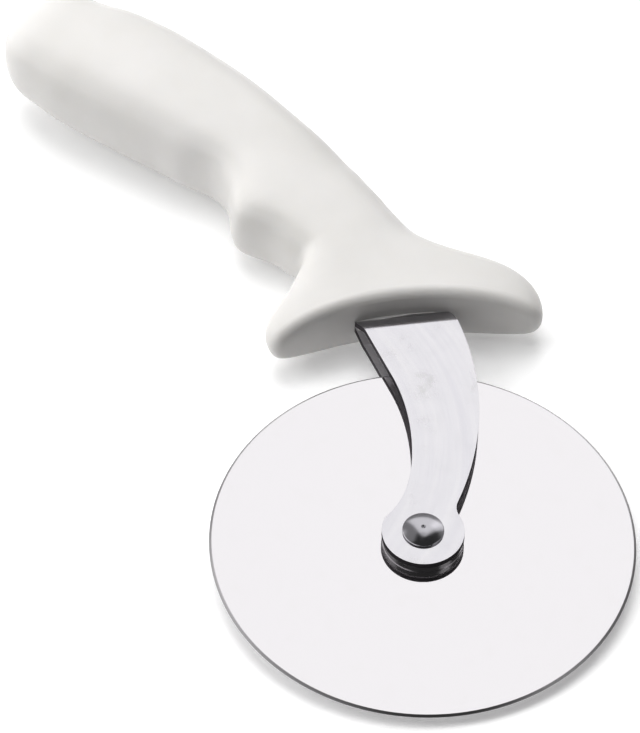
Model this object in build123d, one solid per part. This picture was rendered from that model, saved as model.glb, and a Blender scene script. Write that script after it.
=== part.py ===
from build123d import *
import math
import os

# Hand-held pastry and pizza wheel, lying on its side.
# +X runs forward from the butt of the handle to the wheel, +Z is the wheel's own axis (up when
# the tool lies down) and +Y completes the frame, towards the thumb wing of the guard.
# Everything is drawn in millimetres around the centre of the wheel and moved at the end, so that
# the origin is at the bottom centre of the whole tool's box.

# ---- wheel and axle -------------------------------------------------------------------------
WHEEL_DIA = 100.0
BLADE_T = 1.0
BEVEL_WIDTH = 0.5
EDGE_LAND = 0.16

SLEEVE_DIA = 8.0
SLEEVE_BORE = 5.1
RUNNING_GAP = 0.05                   # radial and axial play of everything that turns

WASHER_DIA = 19.0
WASHER_T = 1.9
WASHER_EDGE = 0.25

RIVET_DIA = 5.0
RIVET_HOLE_DIA = 5.1
RIVET_HEAD_DIA = 9.8
RIVET_HEAD_HEIGHT = 1.75
RIVET_RIM = 0.5                      # height of the head's upright rim, below the dome
RIVET_RIM_ROUND = 0.3
RIVET_PIP_DIA = 1.1
RIVET_PIP_DEPTH = 0.35

# ---- arms -----------------------------------------------------------------------------------
ARM_T = 1.5
EYE_RADIUS = 9.7
INNER_EDGE = (                       # hollow side of the crescent, from its straight root to the eye
    (-43.4, 19.5), (-35.0, 17.55), (-26.5, 14.0), (-18.7, 9.2), (-13.2, 4.3), (-9.9, -0.4),
)
EYE_JOIN = -146.0                    # where round the eye the hollow side runs into it
OUTER_EDGE = (-68.3, -35.3, 80.6)    # arc of the full side of the crescent
INNER_ROOT = (-57.9, 21.7)           # where the crescent ends and the bend begins
OUTER_ROOT = (-49.2, 42.6)
INNER_SLOT = (-68.0, 22.3)           # where the tang passes into the guard
OUTER_SLOT = (-59.0, 44.3)
NECK_RADIUS = 4.5

ARM_GAP = BLADE_T / 2 + WASHER_T + 2 * RUNNING_GAP   # mid plane to the inner face of an arm
ARM_TOP = ARM_GAP + ARM_T

GUARD_TURN = 24.7                    # the guard's face looks this far towards -Y from +X
JOGGLE_START = -66.5                 # along the guard's normal: the tangs leave the mid plane
JOGGLE_END = -62.1                   # and here the arms run flat again, one on each side
JOGGLE_RADIUS = 1.6

TANG_END = -112.0
TANG_END_WIDTH = 13.0
TANG_CORNER_RADIUS = 4.0
TANG_AXIS_Y = 33.0
TANG_HOLE_X = (-82.0, -104.0)        # the moulding locks through these holes
TANG_HOLE_DIA = 6.0
TANG_RIVET_X = (-74.0, -93.0)        # and these rivets hold the two tangs together
TANG_RIVET_DIA = 4.0
TANG_RIVET_HEAD_DIA = 7.0
TANG_RIVET_HEAD_T = 1.2

# ---- handle ---------------------------------------------------------------------------------
FACE_RADIUS = 79.0                   # hollow of the guard's front face, at mid height
FACE_DEPTH = -67.2                   # its deepest point along the guard's normal
FACE_CENTRE = 6.0                    # and along the guard's width
FACE_CROWN = 3.2                     # how far the face falls back, this high and low of the middle
FACE_CROWN_HEIGHT = 14.0
FACE_ROUND = 2.6

# Small step left in the face over the slot, along the guard's width and normal: it is deepest on
# the -Y side and runs out towards the +Y side.
LEDGE = ((-5.6, -65.4), (-4.6, -65.3), (1.5, -66.4), (8.0, -66.9), (18.6, -66.6))
LEDGE_T = 0.35

BUTT_LENGTH = 15.98
BUTT_POWER = 2.2
BUTT_STEPS = (0.992, 0.93, 0.80, 0.60, 0.33)
SECTION_POINTS = 16

BEYOND = 120.0                       # reach of a cut or blank that runs past everything

# Each row is one upright cross-section, from the palm to the guard: the -Y side (x, y), the
# +Y side (x, y), half the thickness, and how square each side is (power 2 is a true ellipse).
HANDLE_ROWS = [
    ((-171.8, -5.0), (-182.6, 23.8), 11.5, 2.8, 2.7),
    ((-166.2, -3.5), (-177.2, 27.7), 12.0, 2.8, 2.7),
    ((-160.2, -1.2), (-171.2, 31.1), 12.3, 2.8, 2.7),
    ((-154.0, 1.4), (-164.5, 34.2), 12.5, 2.8, 2.7),
    ((-147.8, 4.2), (-157.3, 36.7), 12.6, 2.8, 2.7),
    ((-141.5, 7.0), (-149.5, 39.2), 12.5, 2.8, 2.7),
    ((-135.5, 9.8), (-142.0, 41.3), 12.4, 2.8, 2.7),
    ((-129.6, 12.4), (-134.8, 42.9), 12.2, 2.8, 2.7),
    ((-122.3, 16.8), (-124.4, 44.6), 11.8, 3.2, 2.7),
    ((-117.0, 17.6), (-118.0, 45.7), 11.5, 3.2, 2.7),
    ((-112.0, 16.5), (-112.4, 46.5), 11.3, 3.2, 2.7),
    ((-107.4, 14.1), (-107.5, 47.0), 11.1, 3.2, 2.7),
    ((-103.2, 13.1), (-103.2, 47.3), 10.9, 3.2, 2.7),
    ((-99.0, 15.3), (-99.2, 47.8), 10.7, 3.2, 2.7),
    ((-94.4, 18.0), (-95.0, 47.9), 10.5, 3.2, 2.7),
    ((-89.4, 19.5), (-90.6, 48.2), 10.2, 3.2, 2.7),
    ((-85.4, 20.5), (-86.6, 48.2), 10.0, 3.2, 2.7),
    ((-82.8, 19.0), (-82.6, 48.5), 9.8, 3.2, 2.7),
    ((-80.2, 15.2), (-77.7, 49.3), 9.6, 3.0, 2.6),
    ((-77.5, 10.6), (-71.6, 52.2), 9.3, 2.8, 2.7),
    ((-75.3, 6.0), (-64.3, 57.7), 9.0, 2.8, 2.8),
    ((-72.5, 2.4), (-56.6, 63.2), 8.8, 2.8, 2.8),
    ((-68.6, 0.9), (-48.6, 65.1), 8.7, 2.8, 2.8),
    ((-64.0, 1.4), (-42.2, 63.2), 8.6, 2.8, 2.8),
    ((-60.0, 3.8), (-37.6, 59.6), 8.5, 2.8, 2.8),
]

guard_normal = Vector(math.cos(math.radians(GUARD_TURN)), -math.sin(math.radians(GUARD_TURN)))
guard_along = Vector(-guard_normal.Y, guard_normal.X)
guard_side = Plane(origin=(0, 0, 0), x_dir=guard_normal, z_dir=-guard_along)


def on_circle(circle, degrees):
    """Point at an angle on a circle given as centre x, centre y, radius."""
    x, y, radius = circle
    return (x + radius * math.cos(math.radians(degrees)), y + radius * math.sin(math.radians(degrees)))


def arc_on(circle, start, end, turn):
    """Arc on a circle between two of its points, anticlockwise for turn +1 and clockwise for -1."""
    x, y, _ = circle
    first = math.degrees(math.atan2(start[1] - y, start[0] - x))
    last = math.degrees(math.atan2(end[1] - y, end[0] - x))
    sweep = (last - first) % 360 if turn > 0 else -((first - last) % 360)
    return ThreePointArc(start, on_circle(circle, first + sweep / 2), end)


def circle_crossing(first, second, side):
    """Crossing of two circles, on the given side (+1 left, -1 right) of the line between them."""
    x1, y1, r1 = first
    x2, y2, r2 = second
    gap = math.hypot(x2 - x1, y2 - y1)
    along = (gap ** 2 + r1 ** 2 - r2 ** 2) / (2 * gap)
    off = side * math.sqrt(r1 ** 2 - along ** 2)
    ux, uy = (x2 - x1) / gap, (y2 - y1) / gap
    return (x1 + along * ux - off * uy, y1 + along * uy + off * ux)


def disc(diameter, thickness, bottom, bore=0.0):
    """Flat ring or disc with its lower face at the given height."""
    solid = extrude(Circle(diameter / 2), amount=thickness)
    if bore:
        solid -= extrude(Circle(bore / 2), amount=thickness)
    return solid.moved(Location((0, 0, bottom)))


# ---- wheel and axle -------------------------------------------------------------------------
def make_wheel_blade():
    """Thin round blade, ground to an edge from both sides, that turns on the sleeve."""
    radius = WHEEL_DIA / 2
    bore = SLEEVE_DIA / 2 + RUNNING_GAP
    half, land = BLADE_T / 2, EDGE_LAND / 2
    profile = Polyline(
        (bore, -half), (radius - BEVEL_WIDTH, -half), (radius, -land),
        (radius, land), (radius - BEVEL_WIDTH, half), (bore, half), close=True,
    )
    return revolve(Plane.XZ * make_face(profile), axis=Axis.Z)


def make_washer(side):
    """Thrust washer between the blade and an arm, free to turn on the sleeve."""
    low = BLADE_T / 2 + RUNNING_GAP
    washer = disc(WASHER_DIA, WASHER_T, low, SLEEVE_DIA + 2 * RUNNING_GAP)
    rims = washer.edges().filter_by(GeomType.CIRCLE).group_by(SortBy.RADIUS)[-1]
    washer = chamfer(rims, WASHER_EDGE)
    return washer if side > 0 else mirror(washer, about=Plane.XY)


def make_axle_sleeve():
    """Spacer tube that the arms are clamped on, a little longer than the parts that turn on it."""
    return disc(SLEEVE_DIA, 2 * ARM_GAP, -ARM_GAP, SLEEVE_BORE)


def make_axle_rivet():
    """Rivet through both arms and the sleeve, with a domed head on each side."""
    head_radius = RIVET_HEAD_DIA / 2
    crown = ARM_TOP + RIVET_HEAD_HEIGHT
    rim_top = ARM_TOP + RIVET_RIM
    dome_rise = crown - rim_top
    dome_radius = (head_radius ** 2 + dome_rise ** 2) / (2 * dome_rise)
    dome_centre = crown - dome_radius
    half_way = math.asin(head_radius / dome_radius) / 2
    shoulder = (dome_radius * math.sin(half_way), dome_centre + dome_radius * math.cos(half_way))
    profile = (
        Line((0, 0), (RIVET_DIA / 2, 0))
        + Line((RIVET_DIA / 2, 0), (RIVET_DIA / 2, ARM_TOP))
        + Line((RIVET_DIA / 2, ARM_TOP), (head_radius, ARM_TOP))
        + Line((head_radius, ARM_TOP), (head_radius, rim_top))
        + ThreePointArc((head_radius, rim_top), shoulder, (0, crown))
        + Line((0, crown), (0, 0))
    )
    half_section = make_face(profile)
    rim_corner = half_section.vertices().sort_by_distance((head_radius, rim_top, 0))[0]
    half_section = fillet(rim_corner, RIVET_RIM_ROUND)
    upper = revolve(Plane.XZ * half_section, axis=Axis.Z)
    pip = Sphere(RIVET_PIP_DIA / 2).moved(
        Location((0, 0, crown + RIVET_PIP_DIA / 2 - RIVET_PIP_DEPTH)))
    upper -= pip
    return upper + mirror(upper, about=Plane.XY)


# ---- arms -----------------------------------------------------------------------------------
def arm_outline():
    """Plan of one arm: the eye, the crescent and the tang inside the handle."""
    eye = (0, 0, EYE_RADIUS)
    inner_end = on_circle(eye, EYE_JOIN)
    outer_end = circle_crossing(OUTER_EDGE, eye, 1)
    tang_low = (TANG_END, TANG_AXIS_Y - TANG_END_WIDTH / 2)
    tang_high = (TANG_END, TANG_AXIS_Y + TANG_END_WIDTH / 2)
    outline = (
        Polyline(INNER_EDGE[0], INNER_ROOT, INNER_SLOT, tang_low, tang_high, OUTER_SLOT, OUTER_ROOT)
        + arc_on(OUTER_EDGE, OUTER_ROOT, outer_end, -1)
        + arc_on(eye, outer_end, inner_end, -1)
        + Spline(*INNER_EDGE, inner_end)
    )
    face = make_face(outline)
    neck = face.vertices().sort_by_distance((*outer_end, 0))[0]
    face = fillet(neck, NECK_RADIUS)
    tang_corners = face.vertices().group_by(Axis.X)[0]
    return fillet(tang_corners, TANG_CORNER_RADIUS)


def sheet_profile():
    """Side view of one arm along the guard's normal: tang on the mid plane, bend, raised arm."""
    path = FilletPolyline(
        (-2 * BEYOND, 0), (JOGGLE_START, 0), (JOGGLE_END, ARM_GAP), (BEYOND, ARM_GAP),
        radius=JOGGLE_RADIUS,
    )
    return make_face(path.wire().offset_2d(ARM_T, side=Side.LEFT, closed=True))


def drill(diameter, x, y):
    """Upright bore that runs right through whatever it is cut from."""
    return disc(diameter, 2 * BEYOND, -BEYOND).moved(Location((x, y, 0)))


def make_arm(side):
    """One stamped and bent arm, with the eye, the rivet holes and the locking holes."""
    sheet = extrude(guard_side * sheet_profile(), amount=BEYOND, both=True)
    arm = extrude(arm_outline(), amount=BEYOND) & sheet
    arm -= drill(RIVET_HOLE_DIA, 0, 0)
    for x in TANG_HOLE_X:
        arm -= drill(TANG_HOLE_DIA, x, TANG_AXIS_Y)
    for x in TANG_RIVET_X:
        arm -= drill(TANG_RIVET_DIA, x, TANG_AXIS_Y)
    return arm if side > 0 else mirror(arm, about=Plane.XY)


def make_tang_rivets():
    """The hidden rivets that hold the two tangs together."""
    length = 2 * (ARM_T + TANG_RIVET_HEAD_T)
    rivets = []
    for x in TANG_RIVET_X:
        rivet = disc(TANG_RIVET_DIA, length, -length / 2)
        rivet += disc(TANG_RIVET_HEAD_DIA, TANG_RIVET_HEAD_T, ARM_T)
        rivet += disc(TANG_RIVET_HEAD_DIA, TANG_RIVET_HEAD_T, -ARM_T - TANG_RIVET_HEAD_T)
        rivets.append(rivet.moved(Location((x, TANG_AXIS_Y, 0))))
    return Compound(children=rivets)


# ---- handle ---------------------------------------------------------------------------------
def handle_section(low, high, half_t, low_power, high_power):
    """Closed upright section through two plan points, rounded like a superellipse."""
    low, high = Vector(*low), Vector(*high)
    centre = (low + high) / 2
    across = (high - low) / 2
    points = []
    for index in range(SECTION_POINTS):
        angle = 2 * math.pi * index / SECTION_POINTS
        c, s = math.cos(angle), math.sin(angle)
        power = 2 / (high_power if c > 0 else low_power)
        width = math.copysign(abs(c) ** power, c)
        rise = math.copysign(abs(s) ** power, s)
        points.append(centre + across * width + Vector(0, 0, half_t * rise))
    knots = [index / SECTION_POINTS for index in range(SECTION_POINTS + 1)]
    return Wire([Edge.make_spline(points, periodic=True, parameters=knots)])


def butt_sections():
    """Sections that close the round butt behind the first row, smallest first."""
    low, high, half_t, low_power, high_power = HANDLE_ROWS[0]
    low, high = Vector(*low), Vector(*high)
    centre, across = (low + high) / 2, (high - low) / 2
    back = Vector(-across.Y, across.X).normalized()
    sections = []
    for step in BUTT_STEPS:
        shrink = (1 - step ** BUTT_POWER) ** (1 / BUTT_POWER)
        middle = centre + back * (step * BUTT_LENGTH)
        a, b = middle - across * shrink, middle + across * shrink
        sections.append(handle_section((a.X, a.Y), (b.X, b.Y), half_t * shrink, low_power, high_power))
    return sections


def on_guard(along, forward):
    """Plan point at a distance along the guard's width and forward along its normal."""
    return guard_along * along + guard_normal * forward


def make_face_cutter():
    """Round tool that leaves the guard's front face, hollow across its width and crowned in height."""
    reach, high = FACE_RADIUS + FACE_CROWN, FACE_CROWN_HEIGHT
    profile = (
        Line((0, -high), (reach, -high))
        + ThreePointArc((reach, -high), (FACE_RADIUS, 0), (reach, high))
        + Line((reach, high), (0, high))
        + Line((0, high), (0, -high))
    )
    cutter = revolve(Plane.XZ * make_face(profile), axis=Axis.Z)
    return cutter.moved(Location(on_guard(FACE_CENTRE, FACE_DEPTH + FACE_RADIUS)))


def make_ledge():
    """The step of plastic that stands out over the steel where the arms leave the guard."""
    front = [on_guard(*point) for point in LEDGE]
    back = [on_guard(LEDGE[-1][0], FACE_DEPTH - FACE_ROUND), on_guard(LEDGE[0][0], FACE_DEPTH - FACE_ROUND)]
    plan = make_face(Polyline(*front, *back, close=True))
    return extrude(plan, amount=ARM_T + LEDGE_T, both=True)


def make_handle(inserts):
    """Solid moulded handle with its guard, formed around everything that it holds."""
    handle = Solid.make_loft(butt_sections() + [handle_section(*row) for row in HANDLE_ROWS])
    handle -= make_face_cutter()
    face = handle.faces().filter_by(GeomType.TORUS)[0]
    handle = fillet(face.edges(), FACE_ROUND)
    handle += make_ledge()
    for insert in inserts:
        handle -= insert
    return handle


def make_all():
    """Every piece of the tool by name, around the centre of the wheel."""
    pieces = {
        "wheel_blade": make_wheel_blade(),
        "upper_washer": make_washer(1),
        "lower_washer": make_washer(-1),
        "axle_sleeve": make_axle_sleeve(),
        "axle_rivet": make_axle_rivet(),
        "upper_arm": make_arm(1),
        "lower_arm": make_arm(-1),
        "tang_rivets": make_tang_rivets(),
    }
    pieces["handle"] = make_handle([pieces["upper_arm"], pieces["lower_arm"], pieces["tang_rivets"]])
    return pieces


def main():
    os.makedirs("parts", exist_ok=True)
    pieces = make_all()
    box = Compound(children=[Compound(piece.solids()) for piece in pieces.values()]).bounding_box()
    shift = Vector(-(box.min.X + box.max.X) / 2, -(box.min.Y + box.max.Y) / 2, -box.min.Z)
    print("box", box.min, box.max, "wheel centre", shift)
    for name, piece in pieces.items():
        export_step(piece.moved(Location(shift)), f"parts/{name}.step")


if __name__ == "__main__":
    main()
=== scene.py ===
"""Looks of the pastry cutter wheel: materials, floor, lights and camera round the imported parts."""

import math

import bmesh
import bpy
from mathutils import Matrix, Vector


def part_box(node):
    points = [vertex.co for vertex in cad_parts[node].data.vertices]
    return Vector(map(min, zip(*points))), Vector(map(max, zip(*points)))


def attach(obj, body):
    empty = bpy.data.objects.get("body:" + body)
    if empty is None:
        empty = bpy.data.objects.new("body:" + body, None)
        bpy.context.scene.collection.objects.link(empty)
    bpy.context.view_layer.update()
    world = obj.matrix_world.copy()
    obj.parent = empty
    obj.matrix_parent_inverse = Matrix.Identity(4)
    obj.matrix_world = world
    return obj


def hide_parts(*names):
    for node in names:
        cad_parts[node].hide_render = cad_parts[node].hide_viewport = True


MM = 0.001

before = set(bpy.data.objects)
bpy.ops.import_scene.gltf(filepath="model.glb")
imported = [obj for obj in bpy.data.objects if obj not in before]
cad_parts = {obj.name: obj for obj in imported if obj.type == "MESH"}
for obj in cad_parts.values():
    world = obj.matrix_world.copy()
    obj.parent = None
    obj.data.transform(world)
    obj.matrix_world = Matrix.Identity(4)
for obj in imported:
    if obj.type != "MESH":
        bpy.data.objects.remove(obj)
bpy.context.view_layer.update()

BLADE_LOW, BLADE_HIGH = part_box("wheel_blade")
AXLE = (BLADE_LOW + BLADE_HIGH) / 2
MID_PLANE = AXLE.z

# Camera: turned from +X towards -Y, raised, rolled a little, and set back from the point it looks at.
CAMERA_TURN = 34.0
CAMERA_RAISE = 51.06
CAMERA_ROLL = 1.52
CAMERA_BACK = 1085 * MM
CAMERA_TARGET = Vector((15.13, 0.32, 13.1)) * MM
CAMERA_LENS = 221.0
CAMERA_SENSOR = 36.0
CAMERA_CLIP = (0.05, 20)

# The tool lies on the two tips of its guard and leans forward, nearly onto the edge of the blade.
SUPPORTS = ((-0.3, 0.4, 3.9), (13.7, 49.4, 4.0), (119.8, -21.3, 11.6))
FLOOR_REACH = 3.0
FLOOR_WHITE = (0.72, 0.72, 0.72)
FLOOR_GLOW = 0.29                    # the floor is a softly lit table

# Soft panels of the studio: bearing from +X towards +Y and half width, lower and upper edge above
# the horizon, softness of the edges (all in degrees), and strength.
PANELS = (
    (135, 34, 22, 80, 8, 0.66),
    (178, 65, -5, 67, 10, 0.32),
    (-110, 40, -5, 30, 20, 0.80),
    (35, 14, 25, 50, 6, 0.80),
    (85, 32, 12, 40, 12, 0.25),
    (-42, 40, 4, 20, 8, 0.16),
)
AMBIENT = 0.09

# Square soft lights aimed at the origin: place and width in metres, and power in watts.
LIGHTS = {
    "back": ((-0.73, 0.20, 1.25), 1.1, 10.3),
    "overhead": ((-0.15, 0.05, 1.50), 0.9, 5.6),
    "left": ((-0.60, -0.95, 1.10), 0.8, 7.4),
}
EXPOSURE_GAMMA = 0.70

# White plastic: two tones of a slight clouding, and how light spreads inside it.
PLASTIC_DARK = (0.665, 0.655, 0.64)
PLASTIC_LIGHT = (0.695, 0.685, 0.675)
PLASTIC_ROUGH = (0.36, 0.50)
PLASTIC_DEPTH = 1.5 * MM
PLASTIC_SPREAD = (1.0, 0.9, 0.75)

# The arms are stamped from sheet: broken edges, bright outer faces, dull inner faces painted lighter
# as painted light, and cut edges painted near black as painted shade.
EDGE_BREAK = 0.22 * MM
SHARP_ANGLE = math.radians(40)
FLAT_ANGLE = math.radians(0.5)
SAME_POINT = 1e-7
ARM_BRIGHT = (0.84, 0.83, 0.85)
ARM_STREAK = (0.80, 0.79, 0.82)
ARM_SMUDGE = (0.66, 0.66, 0.64)
# Painted light: the inner faces are made lighter than the steel; painted shade: the cut edges are made
# near black.
MILL_FACE_PAINTED_LIGHT = (0.92, 0.91, 0.92)
PAINTED_EDGE_SHADE = (0.17, 0.16, 0.17)
DULL_ROUGH = 0.7
CRESCENT_CENTRE = Vector((21.1, -40.1, 0)) * MM
BRUSH_STRETCH = 0.0025               # the brushing runs this much slower round the crescent

# The blade: mirror polish with faint worn marks, and a satin-ground band along its edge, painted dark
# grey as painted shade along the rim.
BLADE_BRIGHT = (0.865, 0.85, 0.865)
BLADE_DULL = (0.835, 0.82, 0.825)
GROUND_SHADE_GREY = (0.50, 0.49, 0.50)
GROUND_BAND = (49.3 * MM, 49.6 * MM)
GROUND_ROUGH = 0.3

WASHER_GREY = (0.62, 0.61, 0.62)
RIVET_GREY = (0.62, 0.61, 0.64)


# ---- node helpers ---------------------------------------------------------------------------
def sine(degrees):
    return math.sin(math.radians(degrees))


def cosine(degrees):
    return math.cos(math.radians(degrees))


class NodeTree:
    """Short names for the nodes used here."""

    def __init__(self, tree):
        self.tree = tree

    def node(self, kind, **values):
        """New node; keyword values set its properties."""
        made = self.tree.nodes.new(kind)
        for key, value in values.items():
            setattr(made, key, value)
        return made

    def link(self, source, target):
        self.tree.links.new(source, target)

    def point(self):
        """The point on the object."""
        return self.node("ShaderNodeTexCoord").outputs["Object"]

    def stretched(self, scale):
        """The point on the object, stretched along each axis."""
        stretch = self.node("ShaderNodeVectorMath", operation="MULTIPLY")
        stretch.inputs[1].default_value = scale
        self.link(self.point(), stretch.inputs[0])
        return stretch.outputs[0]

    def noise(self, vector, scale, detail, rough=0.5):
        made = self.node("ShaderNodeTexNoise")
        made.inputs["Scale"].default_value = scale
        made.inputs["Detail"].default_value = detail
        made.inputs["Roughness"].default_value = rough
        self.link(vector, made.inputs["Vector"])
        return made.outputs["Fac"]

    def spread(self, value, low_in, high_in, low_out, high_out):
        """Maps one range of values to another."""
        made = self.node("ShaderNodeMapRange")
        made.inputs["From Min"].default_value = low_in
        made.inputs["From Max"].default_value = high_in
        made.inputs["To Min"].default_value = low_out
        made.inputs["To Max"].default_value = high_out
        self.link(value, made.inputs["Value"])
        return made.outputs["Result"]

    def ramp(self, value, low, high):
        """Rises smoothly from 0 to 1 between two values."""
        result = self.spread(value, low, high, 0, 1)
        result.node.interpolation_type = "SMOOTHSTEP"
        return result

    def feed(self, target, value):
        """Sets an input to a number or a colour, or links it to another node's output."""
        if isinstance(value, bpy.types.NodeSocket):
            self.link(value, target)
        elif target.type == "RGBA":
            target.default_value = (*value, 1)
        else:
            target.default_value = value

    def math(self, operation, *values):
        made = self.node("ShaderNodeMath", operation=operation)
        for target, value in zip(made.inputs, values):
            self.feed(target, value)
        return made.outputs[0]

    def part(self, vector, axis):
        """One component of a vector."""
        made = self.node("ShaderNodeSeparateXYZ")
        self.link(vector, made.inputs[0])
        return made.outputs[axis]

    def from_upright(self, centre):
        """Components along X and Y from an upright line, and the distance from it."""
        offset = self.node("ShaderNodeVectorMath", operation="SUBTRACT")
        offset.inputs[1].default_value = centre
        self.link(self.point(), offset.inputs[0])
        x, y = (self.part(offset.outputs[0], axis) for axis in "XY")
        return x, y, self.length(x, y)

    def length(self, x, y):
        squares = self.math("ADD", self.math("MULTIPLY", x, x), self.math("MULTIPLY", y, y))
        return self.math("SQRT", squares)

    def blend(self, value, first, second):
        """Colour between two others, by a value from 0 to 1."""
        made = self.node("ShaderNodeMix", data_type="RGBA")
        by_name = {(socket.name, socket.type): socket for socket in made.inputs}
        self.feed(by_name["Factor", "VALUE"], value)
        self.feed(by_name["A", "RGBA"], first)
        self.feed(by_name["B", "RGBA"], second)
        return next(socket for socket in made.outputs if socket.type == "RGBA")


class Shader(NodeTree):
    """A material's node tree."""

    def __init__(self, name, colour, metallic, roughness):
        self.material = bpy.data.materials.new(name)
        self.material.use_nodes = True
        super().__init__(self.material.node_tree)
        self.inputs = self.tree.nodes["Principled BSDF"].inputs
        self.inputs["Base Color"].default_value = (*colour, 1)
        self.inputs["Metallic"].default_value = metallic
        self.inputs["Roughness"].default_value = roughness

    def tint(self, colour):
        self.link(colour, self.inputs["Base Color"])

    def rough(self, value):
        self.link(value, self.inputs["Roughness"])

    def bump(self, height, distance, strength):
        made = self.node("ShaderNodeBump")
        made.inputs["Distance"].default_value = distance
        made.inputs["Strength"].default_value = strength
        self.link(height, made.inputs["Height"])
        self.link(made.outputs["Normal"], self.inputs["Normal"])


# ---- materials ------------------------------------------------------------------------------
def make_plastic():
    """White moulded plastic: fine spark-eroded grain, slight clouding and worn patches."""
    s = Shader("handle_plastic", PLASTIC_LIGHT, metallic=0.0, roughness=0.42)
    s.inputs["Subsurface Weight"].default_value = 0.12
    s.inputs["Subsurface Radius"].default_value = PLASTIC_SPREAD
    s.inputs["Subsurface Scale"].default_value = PLASTIC_DEPTH
    point = s.point()
    cloud = s.noise(point, scale=45, detail=3)
    s.tint(s.blend(s.spread(cloud, 0.3, 0.7, 0, 1), PLASTIC_DARK, PLASTIC_LIGHT))
    wear = s.noise(point, scale=110, detail=4, rough=0.6)
    s.rough(s.spread(wear, 0.35, 0.7, *PLASTIC_ROUGH))
    grain = s.noise(point, scale=2600, detail=2)
    s.bump(grain, distance=0.02 * MM, strength=0.5)
    return s.material


def make_arm_steel():
    """Stamped sheet: polished outside with brushing along the crescent, dull inside; painted light
    makes the inner faces lighter and painted shade makes the cut edges near black.
    """
    s = Shader("arm_steel", ARM_BRIGHT, metallic=1.0, roughness=0.16)
    point = s.point()
    normal = s.node("ShaderNodeNewGeometry").outputs["Normal"]
    side = s.math("SIGN", s.math("SUBTRACT", s.part(point, "Z"), MID_PLANE))
    outward = s.math("MULTIPLY", s.part(normal, "Z"), side)
    outer = s.spread(outward, 0.55, 0.95, 0, 1)
    inner_face_light = s.spread(outward, -0.55, -0.95, 0, 1)

    x, y, radius = s.from_upright(CRESCENT_CENTRE)
    polar = s.node("ShaderNodeCombineXYZ")
    s.link(radius, polar.inputs["X"])
    s.link(s.math("MULTIPLY", s.math("ARCTAN2", y, x), BRUSH_STRETCH), polar.inputs["Y"])
    brushed = s.noise(polar.outputs[0], scale=2600, detail=4, rough=0.7)
    streaks = s.noise(polar.outputs[0], scale=420, detail=3, rough=0.6)
    smudge = s.noise(point, scale=150, detail=4, rough=0.6)

    bright = s.blend(s.spread(streaks, 0.35, 0.68, 0, 1), ARM_STREAK, ARM_BRIGHT)
    smudged = s.blend(s.spread(smudge, 0.62, 0.76, 0, 0.35), bright, ARM_SMUDGE)
    # Painted shade on the cut edges and painted light on the inner faces, picked by which way each
    # face looks.
    edge_shade_and_inner_light = s.blend(inner_face_light, PAINTED_EDGE_SHADE, MILL_FACE_PAINTED_LIGHT)
    s.tint(s.blend(outer, edge_shade_and_inner_light, smudged))

    worn = s.spread(smudge, 0.45, 0.75, 0.21, 0.30)
    polish = s.math("ADD", worn, s.spread(brushed, 0.3, 0.7, -0.02, 0.03))
    s.rough(s.math("ADD", s.spread(outer, 0, 1, DULL_ROUGH, 0), s.math("MULTIPLY", polish, outer)))
    s.bump(brushed, distance=0.0008 * MM, strength=0.6)
    return s.material


def make_blade_steel():
    """Mirror-polished sheet with faint marks, and a satin-ground band along its edge painted grey as
    painted shade.
    """
    s = Shader("blade_steel", BLADE_BRIGHT, metallic=1.0, roughness=0.06)
    radius = s.from_upright(AXLE)[2]
    ground_band_and_shade = s.ramp(radius, *GROUND_BAND)
    marks = s.noise(s.point(), scale=220, detail=4, rough=0.6)
    polished = s.blend(s.spread(marks, 0.55, 0.8, 0, 0.35), BLADE_BRIGHT, BLADE_DULL)
    # The ground band's grey is painted shade that darkens the rim; its roughness is the real satin
    # grind.
    s.tint(s.blend(ground_band_and_shade, polished, GROUND_SHADE_GREY))
    grain = s.noise(s.point(), scale=900, detail=2)
    polish = s.spread(grain, 0.3, 0.7, 0.05, 0.08)
    s.rough(s.math("ADD", polish, s.math("MULTIPLY", ground_band_and_shade, GROUND_ROUGH)))
    return s.material


def make_steel(name, colour, roughness, brush_scale, brush_depth):
    """Turned steel with fine tool marks and faint smudges."""
    s = Shader(name, colour, metallic=1.0, roughness=roughness)
    brushed = s.noise(s.stretched(brush_scale), scale=1, detail=3, rough=0.7)
    smudge = s.noise(s.point(), scale=60, detail=4, rough=0.6)
    lines = s.spread(brushed, 0.3, 0.7, -0.03, 0.03)
    patches = s.spread(smudge, 0.45, 0.75, roughness, roughness + 0.10)
    s.rough(s.math("ADD", lines, patches))
    s.bump(brushed, distance=brush_depth, strength=0.6)
    return s.material


# ---- visual pieces --------------------------------------------------------------------------
def merged_mesh(node):
    """Editable copy of a part's mesh, with its flat faces joined up."""
    edit = bmesh.new()
    edit.from_mesh(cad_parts[node].data)
    bmesh.ops.remove_doubles(edit, verts=edit.verts, dist=SAME_POINT)
    bmesh.ops.dissolve_limit(edit, angle_limit=FLAT_ANGLE, verts=edit.verts, edges=edit.edges)
    return edit


def finish_piece(edit, name, node, body, slot):
    """Turns an edited mesh into a piece that stands in for a part."""
    bmesh.ops.triangulate(edit, faces=edit.faces)
    mesh = bpy.data.meshes.new(name)
    edit.to_mesh(mesh)
    edit.free()
    mesh.shade_smooth()
    mesh.set_sharp_from_angle(angle=SHARP_ANGLE)
    mesh.materials.append(MATERIALS[slot])
    piece = add_object(name, mesh)
    piece.modifiers.new("even_shading", "WEIGHTED_NORMAL").keep_sharp = True
    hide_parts(node)
    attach(piece, body)


def add_object(name, data):
    """New object in the scene."""
    made = bpy.data.objects.new(name, data)
    bpy.context.scene.collection.objects.link(made)
    return made


def make_arms():
    """The two arms with the burr taken off every stamped edge."""
    for node in ("upper_arm", "lower_arm"):
        edit = merged_mesh(node)
        joined = (edge for edge in edit.edges if len(edge.link_faces) == 2)
        sharp = [edge for edge in joined if edge.calc_face_angle() > SHARP_ANGLE]
        bmesh.ops.bevel(edit, geom=sharp, offset=EDGE_BREAK, segments=3, profile=0.5,
                        affect="EDGES", clamp_overlap=True)
        finish_piece(edit, node + "_stamped", node, "grip", "arm_steel")


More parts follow.
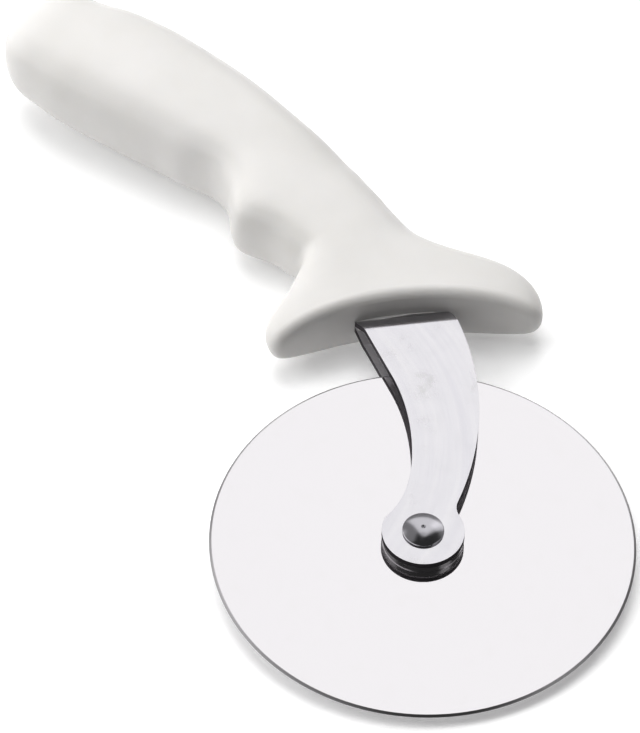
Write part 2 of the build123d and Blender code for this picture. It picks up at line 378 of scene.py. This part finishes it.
# ---- floor, lights, camera ------------------------------------------------------------------
def make_floor():
    """Plain pale floor, tilted to carry the tool as it lies, under its lowest point."""
    first, second, third = (Vector(point) * MM for point in SUPPORTS)
    along = (second - first).normalized()
    up = (third - first).cross(along).normalized()
    up *= math.copysign(1, up.z)
    across = up.cross(along)
    corner_points = (v.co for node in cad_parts.values() for v in node.data.vertices)
    middle = up * min(up.dot(point) for point in corner_points)
    turns = ((-1, -1), (1, -1), (1, 1), (-1, 1))
    corners = [middle + (along * a + across * b) * FLOOR_REACH for a, b in turns]
    mesh = bpy.data.meshes.new("floor")
    mesh.from_pydata(corners, [], [(0, 1, 2, 3)])
    s = Shader("floor_white", FLOOR_WHITE, metallic=0.0, roughness=0.6)
    s.inputs["Specular IOR Level"].default_value = 0.2
    s.inputs["Emission Color"].default_value = (1, 1, 1, 1)
    s.inputs["Emission Strength"].default_value = FLOOR_GLOW
    mesh.materials.append(s.material)
    add_object("floor", mesh)


def make_lights():
    """Soft lights; the steel mirrors only the panels of the surroundings, not the lights."""
    for name, (place, width, watts) in LIGHTS.items():
        data = bpy.data.lights.new(name, "AREA")
        data.shape = "SQUARE"
        data.size = width
        data.energy = watts
        light = add_object(name, data)
        light.location = place
        light.rotation_mode = "QUATERNION"
        light.rotation_quaternion = (-Vector(place)).to_track_quat("-Z", "Y")
        light.visible_glossy = False


def make_world():
    """Studio surroundings: soft white panels behind and beside the tool, dim on the viewer's side."""
    world = bpy.data.worlds.new("studio")
    bpy.context.scene.world = world
    world.use_nodes = True
    sky = NodeTree(world.node_tree)
    background = world.node_tree.nodes["Background"]
    background.inputs["Color"].default_value = (1, 1, 1, 1)
    towards = sky.node("ShaderNodeTexCoord").outputs["Generated"]
    x, y, z = (sky.part(towards, axis) for axis in "XYZ")
    level = sky.length(x, y)
    total = AMBIENT
    for bearing, half_width, low, high, soft, strength in PANELS:
        along_x = sky.math("MULTIPLY", x, cosine(bearing))
        along_y = sky.math("MULTIPLY", y, sine(bearing))
        facing = sky.math("DIVIDE", sky.math("ADD", along_x, along_y), level)
        sides = sky.ramp(facing, cosine(half_width + soft), cosine(half_width))
        above = sky.ramp(z, sine(low - soft), sine(low))
        below = sky.ramp(z, sine(high + soft), sine(high))
        panel = sky.math("MULTIPLY", sides, sky.math("MULTIPLY", above, below))
        total = sky.math("ADD", total, sky.math("MULTIPLY", panel, strength))
    sky.link(total, background.inputs["Strength"])


def make_camera():
    """Long lens looking down at the tool from its front right."""
    level_back = Vector((cosine(CAMERA_TURN), -sine(CAMERA_TURN), 0))
    back = level_back * cosine(CAMERA_RAISE) + Vector((0, 0, sine(CAMERA_RAISE)))
    right = Vector((sine(CAMERA_TURN), cosine(CAMERA_TURN), 0))
    up = back.cross(right)
    rolled_right = right * cosine(CAMERA_ROLL) + up * sine(CAMERA_ROLL)
    rolled_up = up * cosine(CAMERA_ROLL) - right * sine(CAMERA_ROLL)
    data = bpy.data.cameras.new("camera")
    data.lens = CAMERA_LENS
    data.sensor_width = CAMERA_SENSOR
    data.clip_start, data.clip_end = CAMERA_CLIP
    camera = add_object("camera", data)
    turned = Matrix((rolled_right, rolled_up, back)).transposed().to_4x4()
    camera.matrix_world = Matrix.Translation(CAMERA_TARGET + back * CAMERA_BACK) @ turned
    bpy.context.scene.camera = camera


MATERIALS = {
    "handle_plastic": make_plastic(),
    "arm_steel": make_arm_steel(),
    "blade_steel": make_blade_steel(),
    "washer_steel": make_steel("washer_steel", WASHER_GREY, 0.20, (900, 900, 3000), 0.004 * MM),
    "rivet_steel": make_steel("rivet_steel", RIVET_GREY, 0.17, (700, 700, 700), 0.008 * MM),
}

NODE_SLOTS = {
    "handle": "handle_plastic",
    "upper_arm": "arm_steel",
    "lower_arm": "arm_steel",
    "wheel_blade": "blade_steel",
    "upper_washer": "washer_steel",
    "lower_washer": "washer_steel",
    "axle_sleeve": "washer_steel",
    "axle_rivet": "rivet_steel",
    "tang_rivets": "rivet_steel",
}

for name, slot in NODE_SLOTS.items():
    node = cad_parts[name]
    node.data.materials.clear()
    node.data.materials.append(MATERIALS[slot])

make_arms()
make_floor()
make_world()
make_lights()
make_camera()
bpy.context.scene.view_settings.view_transform = "Standard"
bpy.context.scene.view_settings.gamma = EXPOSURE_GAMMA
